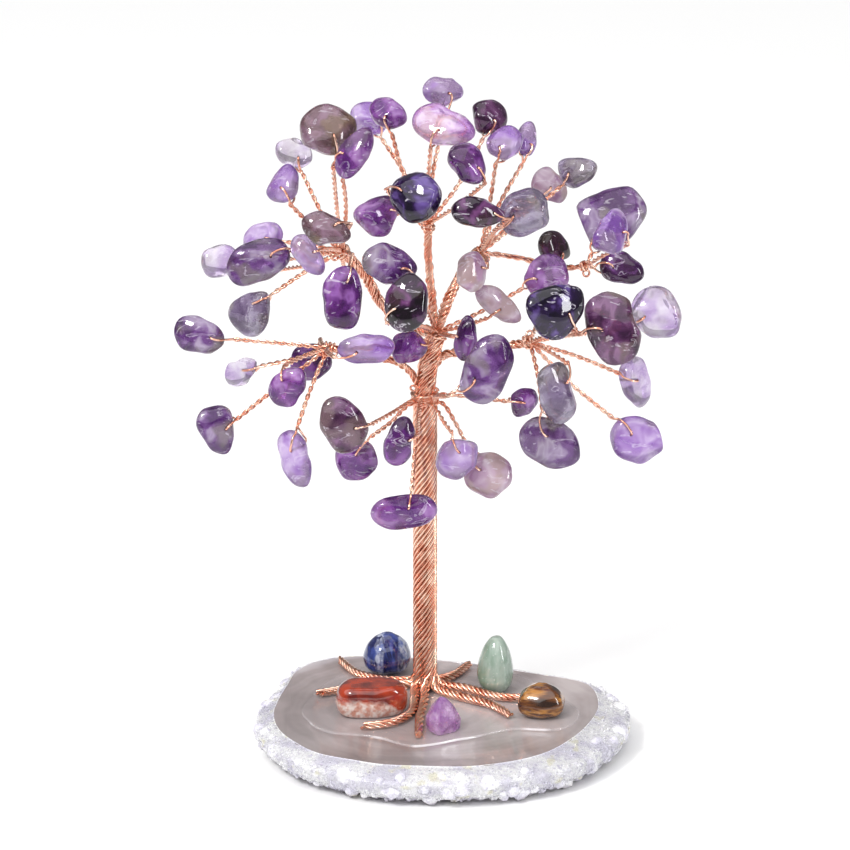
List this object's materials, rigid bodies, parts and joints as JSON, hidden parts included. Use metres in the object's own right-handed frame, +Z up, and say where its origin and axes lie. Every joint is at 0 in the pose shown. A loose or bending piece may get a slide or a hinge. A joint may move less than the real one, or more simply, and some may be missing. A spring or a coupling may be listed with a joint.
{
  "type": "gemstone tree ornament",
  "caption": "Small ornamental tree of drilled amethyst chips on twisted copper wire, rooted with five base stones on an agate slice.",
  "frame": {"origin": "on the flat underside of the agate slice, straight below the trunk", "axes": "+X to the right seen from the front, +Y to the back, +Z up along the trunk"},
  "size_m": [0.1013, 0.08, 0.1341],
  "materials": {
    "copper_wire": "bright rose copper wire",
    "amethyst": "polished, translucent violet",
    "agate": "polished top, sugary crystal edge",
    "resin": "clear and glossy",
    "sodalite": "polished",
    "carnelian": "polished",
    "rough_amethyst": "rough crystal",
    "aventurine": "polished, milky",
    "tiger_eye": "polished, silky bands"
  },
  "bodies": {
    "root": {"agate_slice": "agate", "aventurine_stone": "aventurine", "carnelian_stone": "carnelian", "chip_wires_crotch": "copper_wire", "chip_wires_far_right": "copper_wire", "chip_wires_leader": "copper_wire", "chip_wires_left": "copper_wire", "chip_wires_neck": "copper_wire", "chip_wires_right": "copper_wire", "chip_wires_upper_left": "copper_wire", "chip_wires_upper_right": "copper_wire", "chips_crotch": "amethyst", "chips_far_right": "amethyst", "chips_leader": "amethyst", "chips_left": "amethyst", "chips_neck": "amethyst", "chips_right": "amethyst", "chips_upper_left": "amethyst", "chips_upper_right": "amethyst", "crotch_binding": "copper_wire", "far_right_limb": "copper_wire", "leader": "copper_wire", "left_limb": "copper_wire", "neck": "copper_wire", "resin_pool": "resin", "right_limb": "copper_wire", "root_back": "copper_wire", "root_front": "copper_wire", "root_front_left": "copper_wire", "root_left": "copper_wire", "root_left_back": "copper_wire", "root_right": "copper_wire", "root_right_back": "copper_wire", "root_right_front": "copper_wire", "rough_amethyst_stone": "rough_amethyst", "sodalite_stone": "sodalite", "strand_back": "copper_wire", "strand_front": "copper_wire", "strand_front_left": "copper_wire", "strand_left": "copper_wire", "strand_left_back": "copper_wire", "strand_right": "copper_wire", "strand_right_back": "copper_wire", "strand_right_front": "copper_wire", "tiger_eye_stone": "tiger_eye", "trunk_core": "copper_wire", "upper_left_limb": "copper_wire", "upper_right_limb": "copper_wire"}
  },
  "joints": []
}
